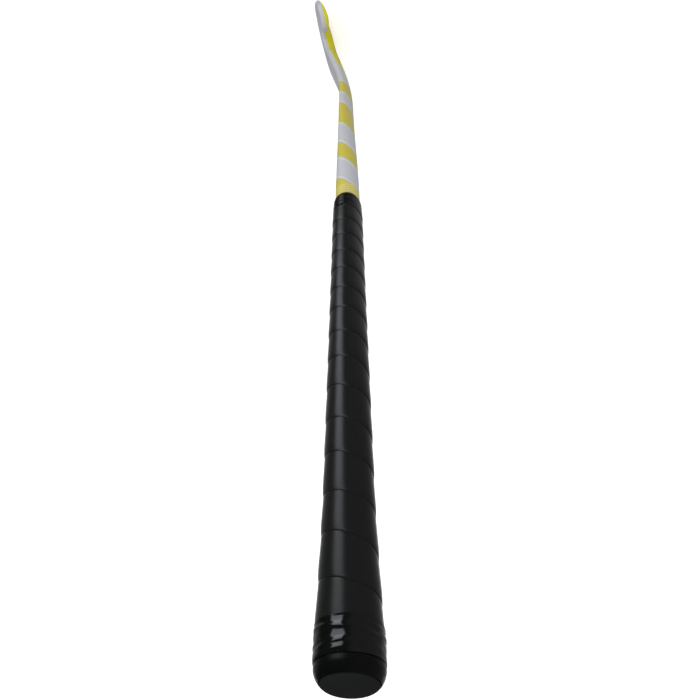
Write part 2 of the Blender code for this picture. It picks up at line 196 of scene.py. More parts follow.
def section_point(path, turn, growth=0.0):
    """Across-width and behind-face distances of a point. Turn 0 is the middle of the face."""
    width = body_width(path) + 2 * growth
    thickness = body_thickness(path) + 2 * growth
    squareness = smooth_step(path, TAPER_START, TAPER_LENGTH)
    corner_width = blend(body_width(path) / 2 - HANDLE_FLAT / 2, FACE_CORNER, squareness) + growth
    corner_depth = blend(body_thickness(path) / 2, FACE_CORNER, squareness) + growth
    flat = width / 2 - corner_width
    flat_turn = flat / width * math.pi
    turn = (turn + math.pi) % (2 * math.pi) - math.pi
    side = 1.0 if turn >= 0 else -1.0
    turn = abs(turn)
    if turn <= flat_turn:
        return side * flat * turn / flat_turn, -growth
    if turn <= math.pi / 2:
        arc = (turn - flat_turn) / (math.pi / 2 - flat_turn) * math.pi / 2
        return side * (flat + corner_width * math.sin(arc)), corner_depth * (1 - math.cos(arc)) - growth
    arc = turn - math.pi / 2
    behind = corner_depth + (thickness - corner_depth) * math.sin(arc)
    return side * width / 2 * math.cos(arc), behind - growth


def in_space(path, across, behind):
    """The point of the frame at a place in the section, once the centre line has turned its J."""
    heading = min(max((path - HOOK_CENTRE) / HOOK_RADIUS, 0.0), HOOK_SWEEP)
    straight = max(path - HOOK_CENTRE - HOOK_RUN, 0.0)
    station = min(path, HOOK_CENTRE) + HOOK_RADIUS * math.sin(heading) + straight * math.cos(heading)
    toeward = HOOK_RADIUS * (1 - math.cos(heading)) + straight * math.sin(heading)
    station -= across * math.sin(heading)
    toeward += across * math.cos(heading)
    return Vector((face_x(station) - behind, -toeward, -station))


print(f"shaft {SHAFT_WIDTH * 1000:.0f} mm wide, head {HEAD_THICKNESS * 1000:.0f} mm thick")

# %% [markdown]
# ## Lofting with bmesh
# A loft is a ring of edges, extruded again and again, with each new ring moved to its place. Every
# point also keeps its place on the stick as an attribute: how far along, how far across and how far
# behind the face. The printed design reads that attribute, so it follows the hook round.

# %% Loft helpers
SHARP_ANGLE = math.radians(35)


def start_ring(mesh, places):
    ring = [mesh.verts.new(place) for place in places]
    for index, vertex in enumerate(ring):
        mesh.edges.new((vertex, ring[(index + 1) % len(ring)]))
    return ring


def extrude_ring(mesh, ring, places):
    """Extrudes a closed ring of edges and puts the new ring's vertices on their places."""
    edges = [mesh.edges.get((vertex, ring[(i + 1) % len(ring)])) for i, vertex in enumerate(ring)]
    made = bmesh.ops.extrude_edge_only(mesh, edges=edges)
    fresh = {item for item in made["geom"] if isinstance(item, bmesh.types.BMVert)}
    following = []
    for vertex, place in zip(ring, places):
        twin = next(e.other_vert(vertex) for e in vertex.link_edges if e.other_vert(vertex) in fresh)
        twin.co = place
        following.append(twin)
    return following


def loft(rings, tags=None, closed=False):
    """A closed solid through rings of points. Tags give each point its place on the stick."""
    mesh = bmesh.new()
    layer = mesh.verts.layers.float_vector.new("place")
    ring = first = start_ring(mesh, rings[0])
    every_ring = [first]
    for places in rings[1:]:
        ring = extrude_ring(mesh, ring, places)
        every_ring.append(ring)
    for points, marks in zip(every_ring, tags or []):
        for point, mark in zip(points, marks):
            point[layer] = mark
    if closed:
        last = extrude_ring(mesh, ring, rings[0])
        bmesh.ops.weld_verts(mesh, targetmap=dict(zip(last, first)))
    else:
        mesh.faces.new(first)
        mesh.faces.new(ring)
    bmesh.ops.recalc_face_normals(mesh, faces=mesh.faces)
    if mesh.calc_volume(signed=True) < 0:
        bmesh.ops.reverse_faces(mesh, faces=mesh.faces)
    return mesh


def add_object(name, mesh):
    """Turns a bmesh into an object of the scene."""
    data = bpy.data.meshes.new(name)
    mesh.to_mesh(data)
    mesh.free()
    item = bpy.data.objects.new(name, data)
    bpy.context.scene.collection.objects.link(item)
    return item


def finish_piece(name, mesh, material, node):
    """Makes a piece of the mesh that rides on the body and stands for a node of the model."""
    piece = add_object(name, mesh)
    data = piece.data
    data.materials.append(material)
    data.shade_smooth()
    data.set_sharp_from_angle(angle=SHARP_ANGLE)
    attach(piece, "root")
    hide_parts(node)
    low = [min(v.co[axis] for v in data.vertices) for axis in range(3)]
    high = [max(v.co[axis] for v in data.vertices) for axis in range(3)]
    size = " x ".join(f"{(b - a) * 1000:.1f}" for a, b in zip(low, high))
    print(f"{name}: {len(data.polygons)} faces, {size} mm")
    return piece


# %% [markdown]
# ## Material helpers
# The finishes are built from nodes. Two small effects are shared: a fine grain that lifts and dulls
# a surface, and sparse scuffs. Each is a node group that puts out plain values, so any material can
# use it at its own scale.

# %% Node helpers
# A Mix node keeps sockets for every kind of value, so its colour sockets are found by their place.
MIX_FIRST, MIX_SECOND, MIX_RESULT = 6, 7, 2


def new_material(name, color, roughness, coat=0.0, specular=0.5):
    material = bpy.data.materials.new(name + "_finish")
    material.use_nodes = True
    shader = material.node_tree.nodes["Principled BSDF"]
    shader.inputs["Base Color"].default_value = (*color, 1.0)
    shader.inputs["Roughness"].default_value = roughness
    shader.inputs["Coat Weight"].default_value = coat
    shader.inputs["Specular IOR Level"].default_value = specular
    return material, material.node_tree, shader


def feed(tree, socket, value):
    """Joins a socket to a value, or sets it when the value is a plain number."""
    if isinstance(value, bpy.types.NodeSocket):
        tree.links.new(value, socket)
    else:
        socket.default_value = value


def calculate(tree, operation, *values):
    node = tree.nodes.new("ShaderNodeMath")
    node.operation = operation
    for socket, value in zip(node.inputs, values):
        feed(tree, socket, value)
    return node.outputs[0]


def product(tree, first, second):
    return calculate(tree, "MULTIPLY", first, second)


def scaled(tree, value, scale, added):
    """The value times the scale, with something added."""
    return calculate(tree, "MULTIPLY_ADD", value, scale, added)


def ramp_between(tree, value, start, end):
    """A smooth rise from 0 at start to 1 at end."""
    node = tree.nodes.new("ShaderNodeMapRange")
    node.interpolation_type = "SMOOTHSTEP"
    feed(tree, node.inputs["Value"], value)
    feed(tree, node.inputs["From Min"], start)
    feed(tree, node.inputs["From Max"], end)
    return node.outputs["Result"]


def full_color(value):
    """A socket as it is, or a plain colour with its fourth value added."""
    return value if isinstance(value, bpy.types.NodeSocket) else (*value, 1.0)


def mix_colors(tree, share, first, second):
    node = tree.nodes.new("ShaderNodeMix")
    node.data_type = "RGBA"
    feed(tree, node.inputs["Factor"], share)
    feed(tree, node.inputs[MIX_FIRST], full_color(first))
    feed(tree, node.inputs[MIX_SECOND], full_color(second))
    return node.outputs[MIX_RESULT]


def noise(tree, vector, scale, detail=3.0, roughness=0.55):
    node = tree.nodes.new("ShaderNodeTexNoise")
    feed(tree, node.inputs["Vector"], vector)
    node.inputs["Scale"].default_value = scale
    node.inputs["Detail"].default_value = detail
    node.inputs["Roughness"].default_value = roughness
    return node.outputs["Fac"]


def object_place(tree):
    return tree.nodes.new("ShaderNodeTexCoord").outputs["Object"]


def bump(tree, shader, height, distance, strength=1.0):
    node = tree.nodes.new("ShaderNodeBump")
    node.inputs["Strength"].default_value = strength
    node.inputs["Distance"].default_value = distance
    tree.links.new(height, node.inputs["Height"])
    tree.links.new(node.outputs["Normal"], shader.inputs["Normal"])


# %% The shared grain and scuff groups
GRAIN_DETAIL = 4.0
PATCH_SCALE = 60.0
SCUFF_STRETCH = (40.0, 40.0, 900.0)
SCUFF_TILT = (0.3, 0.2, 0.0)
SCUFF_FROM, SCUFF_TO = 0.62, 0.74


def make_group(name, inputs, outputs):
    group = bpy.data.node_groups.new(name, "ShaderNodeTree")
    for label, default in inputs.items():
        socket = group.interface.new_socket(label, in_out="INPUT", socket_type="NodeSocketFloat")
        socket.default_value = default
    for label in outputs:
        group.interface.new_socket(label, in_out="OUTPUT", socket_type="NodeSocketFloat")
    return group, group.nodes.new("NodeGroupInput"), group.nodes.new("NodeGroupOutput")


def make_grain_group():
    """Fine pores over a softer unevenness, as on foam rubber and moulded rubber."""
    group, source, result = make_group("fine_grain", {"Scale": 2500.0}, ["Grain", "Patches"])
    place = object_place(group)
    fine = group.nodes.new("ShaderNodeTexNoise")
    group.links.new(place, fine.inputs["Vector"])
    group.links.new(source.outputs["Scale"], fine.inputs["Scale"])
    fine.inputs["Detail"].default_value = GRAIN_DETAIL
    group.links.new(fine.outputs["Fac"], result.inputs["Grain"])
    patches = noise(group, place, PATCH_SCALE, detail=2.0)
    group.links.new(patches, result.inputs["Patches"])
    return group


def make_scuff_group():
    """Sparse fine scratches, drawn out across the stick, that dull a gloss."""
    group, source, result = make_group("scuffs", {"Amount": 0.5}, ["Scuffs"])
    mapping = group.nodes.new("ShaderNodeMapping")
    mapping.inputs["Scale"].default_value = SCUFF_STRETCH
    mapping.inputs["Rotation"].default_value = SCUFF_TILT
    group.links.new(object_place(group), mapping.inputs["Vector"])
    streaks = noise(group, mapping.outputs["Vector"], scale=1.0, detail=4.0, roughness=0.7)
    lines = ramp_between(group, streaks, SCUFF_FROM, SCUFF_TO)
    group.links.new(product(group, lines, source.outputs["Amount"]), result.inputs["Scuffs"])
    return group


grain_group = make_grain_group()
scuff_group = make_scuff_group()


def place_group(tree, group, **values):
    node = tree.nodes.new("ShaderNodeGroup")
    node.node_tree = group
    for label, value in values.items():
        node.inputs[label].default_value = value
    return node.outputs


print("groups:", grain_group.name, scuff_group.name)

# %% [markdown]
# ## The lacquered print
# The laminate is printed in yellow and pale grey and sealed under clear lacquer. Slanting bands with
# pinstripes beside them run down the shaft, fine rings lie just below the grip, and the hook has a
# yellow back behind a pale playing face. An image would have to be unwrapped and would blur close
# up, so the print is worked out from each point's place on the stick. Low down on the hook the paint
# is rubbed through in small chips.

# %% The print's colours
PRINT_YELLOW = (0.53, 0.455, 0.062)
HEAD_YELLOW = (0.64, 0.59, 0.012)
PALE_GREY = (0.475, 0.485, 0.52)
LINE_WHITE = (0.74, 0.74, 0.58)
WORN_GREY = (0.23, 0.24, 0.25)
SOFT_EDGE = 0.0006


def soft_mask(tree, value, edge=SOFT_EDGE):
    """1 where the value is above 0 and 0 below, with a soft printed edge."""
    return ramp_between(tree, value, -edge, edge)


# %% The bands and pinstripes of the shaft
BAND_REPEAT = 0.094
BANDS_START = 0.424
BANDS_END = 3.70
BAND_SLANT = 6.0
BAND_LEAN = 14.0
SECOND_WAVE = 0.55
SECOND_SPEED = 0.9 * math.pi
SECOND_START = 1.0
PINSTRIPE = 0.0011
PINSTRIPE_OFFSET = 0.004
PINSTRIPE_EDGE = 0.0003


def shaft_bands(tree, path, across, behind):
    """Masks of the bands and the pinstripes. A second, slower wave makes the bands uneven."""
    along = calculate(tree, "SUBTRACT", path, BANDS_START)
    phase = calculate(tree, "DIVIDE", along, BAND_REPEAT)
    phase = scaled(tree, across, BAND_SLANT, phase)
    phase = scaled(tree, behind, BAND_LEAN, phase)
    wave = calculate(tree, "SINE", product(tree, phase, 2 * math.pi))
    second = calculate(tree, "SINE", scaled(tree, phase, SECOND_SPEED, SECOND_START))
    wave = scaled(tree, second, SECOND_WAVE, wave)
    to_edge = product(tree, wave, BAND_REPEAT / (2 * math.pi))
    on_shaft = calculate(tree, "LESS_THAN", phase, BANDS_END)
    bands = product(tree, soft_mask(tree, to_edge), on_shaft)
    beside = calculate(tree, "ABSOLUTE", calculate(tree, "ADD", to_edge, PINSTRIPE_OFFSET))
    pinstripe = soft_mask(tree, calculate(tree, "SUBTRACT", PINSTRIPE / 2, beside), PINSTRIPE_EDGE)
    return bands, product(tree, pinstripe, on_shaft)


print("print: bands every", BAND_REPEAT * 1000, "mm")

# %% The rings below the grip and the back of the hook
RING_REPEAT = 0.0042
RINGS_END = 0.446
RING_FROM, RING_TO = 0.5, 0.95
HEAD_SPLIT = 0.0062
SPLIT_START = 0.685
SPLIT_END = 0.835
SPLIT_RISE = 0.016


def grip_end_rings(tree, path):
    """Masks of the plain yellow ground below the grip and of the fine rings on it."""
    ground = calculate(tree, "LESS_THAN", path, RINGS_END)
    ripple = calculate(tree, "SINE", product(tree, path, 2 * math.pi / RING_REPEAT))
    return ground, product(tree, ramp_between(tree, ripple, RING_FROM, RING_TO), ground)


def head_back(tree, path, behind):
    """Mask of the hook's yellow back. The line between the colours comes forward down the stick."""
    taper = ramp_between(tree, path, SPLIT_START, SPLIT_END)
    line = scaled(tree, taper, -SPLIT_RISE, HEAD_SPLIT + SPLIT_RISE)
    on_head = calculate(tree, "GREATER_THAN", path, SPLIT_START)
    return product(tree, soft_mask(tree, calculate(tree, "SUBTRACT", behind, line)), on_head)


print("rings end", RINGS_END * 1000, "mm down, the hook's yellow starts at", SPLIT_START * 1000)

# %% The wear
WEAR_TOP = -0.930
FLECK_SCALE = 1400.0
FLECK_FROM, FLECK_TO = 0.55, 0.80
FLECK_SHARE = 0.12
CHIP_SCALE = 160.0
CHIP_FROM, CHIP_TO = 0.50, 0.62
CHIP_SHARE = 0.6


def worn_paint(tree):
    """Mask of faint flecks everywhere and of chips low down on the hook."""
    flakes = noise(tree, object_place(tree), FLECK_SCALE, detail=2.0)
    flecks = product(tree, ramp_between(tree, flakes, FLECK_FROM, FLECK_TO), FLECK_SHARE)
    low = tree.nodes.new("ShaderNodeSeparateXYZ")
    tree.links.new(object_place(tree), low.inputs[0])
    rubbed = ramp_between(tree, low.outputs[2], WEAR_TOP, cad_low.z)
    chips = noise(tree, object_place(tree), CHIP_SCALE, detail=5.0, roughness=0.7)
    chips = ramp_between(tree, chips, CHIP_FROM, CHIP_TO)
    worn = product(tree, product(tree, rubbed, chips), CHIP_SHARE)
    return calculate(tree, "MAXIMUM", flecks, worn)


# %% Mix the lacquer
LACQUER_ROUGHNESS = 0.30
LACQUER_SPECULAR = 0.10
LACQUER_COAT = 0.15
COAT_ROUGHNESS = 0.10
RING_SHARE = 0.7
SCUFF_AMOUNT = 0.25
WAVINESS_SCALE = 90.0
WAVINESS = 0.00006


def make_lacquer():
    material, tree, shader = new_material(
        "lacquer", PALE_GREY, LACQUER_ROUGHNESS, coat=LACQUER_COAT, specular=LACQUER_SPECULAR
    )
    attribute = tree.nodes.new("ShaderNodeAttribute")
    attribute.attribute_name = "place"
    split = tree.nodes.new("ShaderNodeSeparateXYZ")
    tree.links.new(attribute.outputs["Vector"], split.inputs[0])
    path, across, behind = split.outputs
    bands, pinstripe = shaft_bands(tree, path, across, behind)
    ground, rings = grip_end_rings(tree, path)

    color = mix_colors(tree, calculate(tree, "MAXIMUM", bands, ground), PALE_GREY, PRINT_YELLOW)
    color = mix_colors(tree, pinstripe, color, LINE_WHITE)
    color = mix_colors(tree, product(tree, rings, RING_SHARE), color, LINE_WHITE)
    color = mix_colors(tree, head_back(tree, path, behind), color, HEAD_YELLOW)
    color = mix_colors(tree, worn_paint(tree), color, WORN_GREY)
    tree.links.new(color, shader.inputs["Base Color"])

    scuffs = place_group(tree, scuff_group, Amount=SCUFF_AMOUNT)["Scuffs"]
    tree.links.new(calculate(tree, "ADD", scuffs, LACQUER_ROUGHNESS), shader.inputs["Roughness"])
    shader.inputs["Coat Roughness"].default_value = COAT_ROUGHNESS
    bump(tree, shader, noise(tree, object_place(tree), WAVINESS_SCALE, detail=2.0), WAVINESS)
    return material


lacquer = make_lacquer()
print("lacquer:", len(lacquer.node_tree.nodes), "nodes")

# %% [markdown]
# ## The laminate body
# The body is moulded in one piece from the handle to the toe. Bending a straight bar with a modifier
# would stretch the flat face, so the body is lofted along its own centre line instead. The points of
# a ring stand closer together at the corners of the face. Rings follow each other every few
# millimetres, and more closely where the toe is rounded off.

# %% Loft the body
RING_POINTS = 56
SHAFT_STEP = 0.006
HOOK_STEP = 0.0018
TIP_STEPS = 16
TIP_OPENING = 0.4
TIP_CURVE = 1.5


def body_turns(path, growth=0.0):
    """Angles round the section: even over the back, closer together round the face's corners."""
    flat = body_width(path) / 2 - blend(
        body_width(path) / 2 - HANDLE_FLAT / 2, FACE_CORNER, smooth_step(path, TAPER_START, TAPER_LENGTH)
    )
    flat_turn = flat / (body_width(path) + 2 * growth) * math.pi
    quarter = RING_POINTS // 4
    flat_points = quarter // 3
    corner_points = quarter - flat_points
    turns = [flat_turn * step / flat_points for step in range(flat_points)]
    turns += [blend(flat_turn, math.pi / 2, step / corner_points) for step in range(corner_points)]
    turns += [math.pi / 2 + math.pi * step / (2 * quarter) for step in range(2 * quarter)]
    turns += [-blend(math.pi / 2, flat_turn, step / corner_points) for step in range(corner_points)]
    turns += [-flat_turn * (1 - step / flat_points) for step in range(flat_points)]
    return turns


def even_stops(start, end, step):
    count = max(1, round((end - start) / step))
    return [blend(start, end, index / count) for index in range(count)]


def make_body():
    rings = []
    tags = []

    def add_ring(path, growth=0.0, narrowing=1.0):
        ring = []
        marks = []
        for turn in body_turns(path, growth):
            across, behind = section_point(path, turn, growth)
            across *= narrowing
            ring.append(in_space(path, across, behind))
            marks.append(Vector((path, across, behind)))
        rings.append(ring)
        tags.append(marks)

    stops = even_stops(BODY_TOP, HOOK_CENTRE, SHAFT_STEP)
    stops += even_stops(HOOK_CENTRE, PATH_END - TIP_ROUNDING, HOOK_STEP)
    for path in stops:
        add_ring(path)
    half_width = body_width(PATH_END) / 2
    for step in range(TIP_STEPS):
        arc = math.pi / 2 * step / (TIP_STEPS - TIP_OPENING)
        edge = TIP_EDGE * (1 - math.cos(arc)) ** TIP_CURVE
        reach = (half_width * math.cos(arc) + TIP_EDGE / 2 * (1 - math.cos(arc))) / (half_width - edge)
        add_ring(PATH_END - TIP_ROUNDING + TIP_ROUNDING * math.sin(arc), -edge, reach)
    return finish_piece("laminate_body", loft(rings, tags), lacquer, "stick_body")


body = make_body()

# %% [markdown]
# ## The wound grip
# One long tape is wound from the butt. Each turn lies over the edge of the turn before it, so its
# near edge stands up as a low step and its far edge is hidden. Stacked rings would cut the strip into
# pieces, and a Screw modifier can't follow an oval that swells, so the tape's own section is lofted
# along the winding. The section has the lap in it: a rounded near edge that rides over, a body, and a
# thin far edge that is tucked under the next turn, with a crease where that turn starts.

# %% Grip dimensions
FLARE_RISE = 0.0024
FLARE_LENGTH = 0.090
FLARE_CURVE = 1.5
SHOULDER_DROP = 0.0010
SHOULDER_LENGTH = 0.0200
PART_GAP = 0.0003
GRIP_TOP = -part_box("grip_tape")[1][2]
SHOULDER_END = GRIP_TOP - PART_GAP
GRIP_BOTTOM = -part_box("grip_tape")[0][2]
GRIP_END = -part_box("finishing_band")[0][2]
TAPE_PITCH = 0.0254
TAPE_START_TURN = math.radians(241.0)
LAP = 0.0030
TAPE_STEPS = 72
NEAR_EDGE = 0.00190
FAR_EDGE = 0.00148
TUCKED = 0.00070
print(f"tape from {GRIP_TOP * 1000:.1f} to {GRIP_BOTTOM * 1000:.1f} mm, turns {TAPE_PITCH * 1000} mm apart")


def flare(station):
    """How far the surface under the tape stands off the handle: it swells, then rounds in."""
    below_cap = max(station - SHOULDER_END, 0.0)
    swell = FLARE_RISE * (1 - min(below_cap / FLARE_LENGTH, 1.0)) ** FLARE_CURVE
    return swell - SHOULDER_DROP * (1 - min(below_cap / SHOULDER_LENGTH, 1.0)) ** 2


def handle_point(station, turn, rise):
    """A point of the handle's oval, raised off the laminate."""
    return in_space(station, *section_point(station, turn, rise))


# %% The grip's foam rubber
GRIP_BLACK = (0.0072, 0.0079, 0.0074)
GRIP_ROUGHNESS = 0.25
PATCH_DULLNESS = 0.12


def make_grip_rubber():
    material, tree, shader = new_material("grip_rubber", GRIP_BLACK, GRIP_ROUGHNESS, specular=0.30)
    grain = place_group(tree, grain_group, Scale=1600.0)
    bump(tree, shader, grain["Grain"], distance=0.00010, strength=0.6)
    rough = scaled(tree, grain["Patches"], PATCH_DULLNESS, GRIP_ROUGHNESS)
    tree.links.new(rough, shader.inputs["Roughness"])
    return material


grip_rubber = make_grip_rubber()

# %% Where the turns of the tape lie
DRIFT = 0.0010
DRIFT_HUMP = 0.0048
DRIFT_MIDDLE = 0.118
DRIFT_REACH = 0.080
END_SQUEEZE = 0.004
# Each wander has a size, a speed and a start.
WANDERS = ((0.0003, 3.7, 0.0), (0.0002, 9.1, 1.0))


def tape_edge(turn_count):
    """Station of the near edge after so many turns. A hand never winds quite evenly."""
    even = GRIP_TOP + TAPE_PITCH * (turn_count - 1)
    drift = DRIFT + DRIFT_HUMP * math.exp(-(((even - DRIFT_MIDDLE) / DRIFT_REACH) ** 2))
    wander = sum(size * math.sin(turn_count * speed + start) for size, speed, start in WANDERS)
    return even - drift + wander


def cut_square(station):
    """The tape is cut square at both ends: what would run past an end is pressed thin against it."""
    inside = min(max(station, GRIP_TOP), GRIP_BOTTOM)
    return inside + (station - inside) * END_SQUEEZE


print("edges of the first turns:", [round(tape_edge(count) * 1000, 1) for count in range(1, 5)], "mm")

# %% The section of the tape
CREASE = 0.00024
CREASE_WIDTH = 0.0001
CREST_REACH = 0.0060
BODY_PLACE, BODY_FALL = 0.45, 0.35
TUCK_START = 0.0002
TUCK_CLEARANCE = 0.00002
LIFT_CLEARANCE = 0.00006
FAR_CORNER = 0.0004
UNDER_CORNER = 0.0008
# Points of the two rounded edges: how far past the edge, and how far above FAR_EDGE.
NEAR_CREST = (
    (0.0003, -0.00003), (0.0007, 0.00012), (0.0013, 0.00021), (0.0025, 0.00031), (0.0040, 0.00038),
)
FAR_SLOPE = (
    (-0.0040, 0.00003), (-0.0016, 0.0), (-0.0010, -0.00003), (-0.0006, -0.00009), (-0.0003, -0.00018),
)


def lap_section(turn_count):
    """The tape's outline where its middle has made turn_count turns."""
    near = tape_edge(turn_count)
    far = tape_edge(turn_count + 1) + LAP
    next_near = far - LAP
    lift = TUCKED + LIFT_CLEARANCE
    over = near + LAP
    outline = [(near, lift), (near, FAR_EDGE - CREASE)]
    outline += [(near + past, FAR_EDGE + rise) for past, rise in NEAR_CREST]
    outline += [
        (near + CREST_REACH, NEAR_EDGE),
        (blend(near, far, BODY_PLACE), blend(NEAR_EDGE, FAR_EDGE, BODY_FALL)),
    ]
    outline += [(next_near + past, FAR_EDGE + rise) for past, rise in FAR_SLOPE]
    outline += [
        (next_near - CREASE_WIDTH, FAR_EDGE - CREASE),
        (next_near + TUCK_START, TUCKED + TUCK_CLEARANCE),
        (far - FAR_CORNER, TUCKED),
        (far, TUCKED / 2),
        (far, 0.0),
        (blend(over, far, 0.5), 0.0),
        (over + UNDER_CORNER, 0.0),
        (over, lift),
    ]
    places = []
    turn = TAPE_START_TURN - 2 * math.pi * turn_count
    for station, rise in outline:
        station = cut_square(station)
        places.append(handle_point(station, turn, flare(station) + PART_GAP + rise))
    return places


print("the section has", len(lap_section(1.0)), "points")

# %% Wind the tape
WIND_FROM = 0.02
WIND_PAST = 0.98


def make_winding():
    end = (GRIP_BOTTOM - GRIP_TOP) / TAPE_PITCH + WIND_PAST
    count = round((end - WIND_FROM) * TAPE_STEPS)
    rings = [lap_section(blend(WIND_FROM, end, step / count)) for step in range(count + 1)]
    return finish_piece("wound_grip", loft(rings), grip_rubber, "grip_tape")


winding = make_winding()

# %% [markdown]
# ## The butt's end
# A moulded rubber cap closes the butt. Its shoulder is blunt and rounded, and a bare disc with the
# same soft crown sits in a recess in its end. A squashed and bevelled cylinder would come near, but
# the crown has to stay one curve across both pieces, so both are lofted through oval rings whose
# size follows that curve.

# %% The curve of the butt's end
DOME_DEPTH = 0.0077
DOME_SQUARENESS = 5.3
DOME_ROUNDNESS = 1.5
BUTT_GROWTH = 0.0039
OVAL_POINTS = 96
OVAL_TURNS = [2 * math.pi * step / OVAL_POINTS for step in range(OVAL_POINTS)]


def oval_ring(station, rise):
    return [handle_point(max(station, 0.0), turn, rise) for turn in OVAL_TURNS]


def dome_points(inner, outer, steps):
    """Stations and rises on the butt's blunt dome, between two rises."""
    centre = straight_thickness(0.0) / 2
    reach = BUTT_GROWTH + centre
    arcs = [math.asin(((rise + centre) / reach) ** (DOME_SQUARENESS / 2)) for rise in (inner, outer)]
    points = []
    for step in range(steps + 1):
        arc = blend(arcs[0], arcs[1], step / steps)
        station = DOME_DEPTH * (1 - math.cos(arc) ** (2 / DOME_ROUNDNESS))
        points.append((station, reach * math.sin(arc) ** (2 / DOME_SQUARENESS) - centre))
    return points


print("crown", DOME_DEPTH * 1000, "mm deep")

# %% Moulded finishes
CAP_BLACK = (0.0020, 0.0022, 0.0021)
DISC_BLACK = (0.0106, 0.0114, 0.0110)


def make_moulded(name, base, grain, roughness, specular):
    material, tree, shader = new_material(name, base, roughness, specular=specular)
    pores = place_group(tree, grain_group, Scale=grain)
    bump(tree, shader, pores["Grain"], distance=0.00006, strength=0.7)
    base_roughness = roughness - PATCH_DULLNESS / 2
    rough = scaled(tree, pores["Patches"], PATCH_DULLNESS, base_roughness)
    tree.links.new(rough, shader.inputs["Roughness"])
    return material


cap_rubber = make_moulded("cap_rubber", CAP_BLACK, grain=2600.0, roughness=0.36, specular=0.22)
disc_plastic = make_moulded("disc_plastic", DISC_BLACK, grain=3200.0, roughness=0.75, specular=0.10)
print("finishes:", cap_rubber.name, disc_plastic.name)

# %% Mould the cap and the disc
DISC_EDGE = 0.0010
DISC_FLAT = -0.0076
DISC_SEAT = 0.0052
CAP_INNER_FLOOR = 0.0073
CAP_CORNER = 0.0001
EDGE_ROUND = 0.0002
SLEEVE_END = -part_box("butt_cap")[0][2]
SLEEVE_RISE = 0.0008
SHOULDER_ROWS = 24
CROWN_ROWS = 16


def make_cap():
    recess = DISC_EDGE + PART_GAP
    shoulder = dome_points(recess + EDGE_ROUND, BUTT_GROWTH, SHOULDER_ROWS)
    lip = shoulder[0][0]
    profile = [(DISC_SEAT + PART_GAP, recess), (lip + EDGE_ROUND, recess)] + shoulder
    profile += [(SHOULDER_END - CAP_CORNER, BUTT_GROWTH), (SHOULDER_END, BUTT_GROWTH - CAP_CORNER)]
    profile += [(SHOULDER_END, SLEEVE_RISE), (SLEEVE_END, SLEEVE_RISE), (SLEEVE_END, PART_GAP)]
    profile += [(CAP_INNER_FLOOR, PART_GAP)]
    rings = [oval_ring(station, rise) for station, rise in profile]
    return finish_piece("moulded_cap", loft(rings), cap_rubber, "butt_cap")


def make_disc():
    crown = dome_points(DISC_FLAT, DISC_EDGE - EDGE_ROUND, CROWN_ROWS)
    edge = crown[-1][0] + EDGE_ROUND
    profile = [(0.0, DISC_FLAT)] + crown[1:] + [(edge, DISC_EDGE), (DISC_SEAT, DISC_EDGE)]
    rings = [oval_ring(station, rise) for station, rise in profile]
    return finish_piece("bare_disc", loft(rings), disc_plastic, "end_disc")


moulded_cap = make_cap()
bare_disc = make_disc()

# %% [markdown]
# ## The glossy start tape
# Stretched gloss tape holds the first turns of the grip. It was pulled over a swelling handle, so it
# lies in small folds that break its highlight into patches. A bump texture would leave the outline
# smooth, so the folds are in the mesh. Each is a low ridge that runs a little way round the handle
# and fades out. Towards the cap the tape lies thicker, and its end is rubbed down.

# %% Draw the folds
GLOSS_TOP = -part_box("anchor_band")[1][2]
GLOSS_BOTTOM = -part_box("anchor_band")[0][2]
FOLD_COUNT = 34
FOLD_MARGIN = 0.001
FOLD_SLANTS = (-0.0022, 0.0010)
FOLD_REACHES = (0.35, 1.1)
FOLD_WIDTHS = (0.00045, 0.0013)
FOLD_HEIGHT = 0.00017
FOLD_SHARES = (0.3, 1.0)
HIGHLIGHT_TURN = math.radians(84.0)
MAIN_FOLD_REACH = 1.2
MAIN_FOLD_WIDTH = 0.00120
MAIN_FOLD_HEIGHT = 0.00040
# The main folds cross the highlight: each has a station and a slant.
MAIN_FOLDS = ((0.0262, 0.0004), (0.0210, -0.0022), (0.0149, 0.0026), (0.0121, 0.0016))
# Each wrinkle has a size, waves round the handle, waves along it, and a start.
WRINKLES = ((0.00004, 7, 1500, 0.0), (0.00003, 12, -900, 2.0))

draw = random.Random(7)
folds = []
for index in range(FOLD_COUNT):
    folds.append({
        "station": draw.uniform(GLOSS_TOP + FOLD_MARGIN, GLOSS_BOTTOM - FOLD_MARGIN),
        "turn": draw.uniform(-math.pi, math.pi),
        "slant": draw.uniform(*FOLD_SLANTS),
        "reach": draw.uniform(*FOLD_REACHES),
        "width": draw.uniform(*FOLD_WIDTHS),
        "height": FOLD_HEIGHT * draw.uniform(*FOLD_SHARES),
    })
for station, slant in MAIN_FOLDS:
    folds.append({
        "station": station,
        "turn": HIGHLIGHT_TURN,
        "slant": slant,
        "reach": MAIN_FOLD_REACH,
        "width": MAIN_FOLD_WIDTH,
        "height": MAIN_FOLD_HEIGHT,
    })


def fold_height(station, turn):
    """The sum of the wrinkles' and folds' heights at a place on the tape."""
    total = 0.0
    for size, waves_round, waves_along, start in WRINKLES:
        total += size * math.sin(waves_round * turn + waves_along * station + start)
    for fold in folds:
        beside = (turn - fold["turn"] + math.pi) % (2 * math.pi) - math.pi
        fade = max(0.0, 1 - (beside / fold["reach"]) ** 2)
        off = (station - fold["station"] - fold["slant"] * beside) / fold["width"]
        total += fold["height"] * fade * math.exp(-off * off)
    return total


print(len(folds), "folds")

# %% The start tape's finish
GLOSS_BLACK = (0.0028, 0.0033, 0.0031)
GLOSS_ROUGHNESS = 0.07
GLOSS_DULLNESS = 0.14


